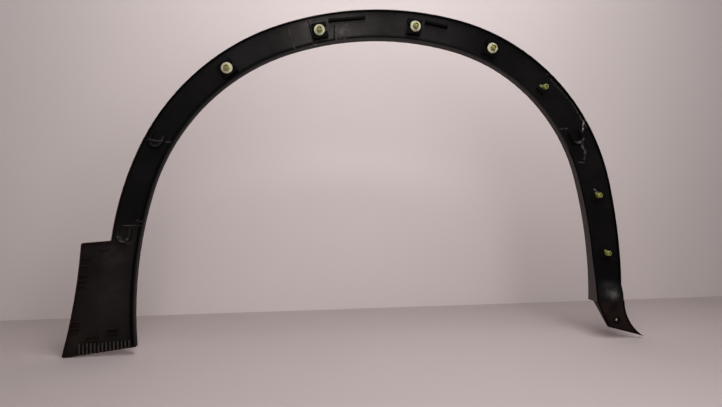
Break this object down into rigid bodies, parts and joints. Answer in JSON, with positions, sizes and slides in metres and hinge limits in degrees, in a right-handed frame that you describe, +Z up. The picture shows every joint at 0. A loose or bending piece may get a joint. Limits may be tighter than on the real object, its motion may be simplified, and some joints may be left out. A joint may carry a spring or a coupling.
{
  "type": "wheel arch trim",
  "caption": "Black moulded trim for a car's front wheel arch, with a flared band, return lip, sill flap, bumper foot, clip seats and push-in clips.",
  "frame": {"origin": "middle of the datum clip's pin, near the top of the arch", "axes": "+X along the car towards the bumper foot, +Y outboard, away from the car, +Z up as fitted"},
  "size_m": [0.9572, 0.0315, 0.5547],
  "materials": {
    "moulding": "grained satin black",
    "clip": "yellow-green nylon",
    "seal": "off-white, soft"
  },
  "bodies": {
    "root": {"arch_moulding": "moulding", "push_clips": "clip", "clip_seals": "seal"}
  },
  "joints": []
}
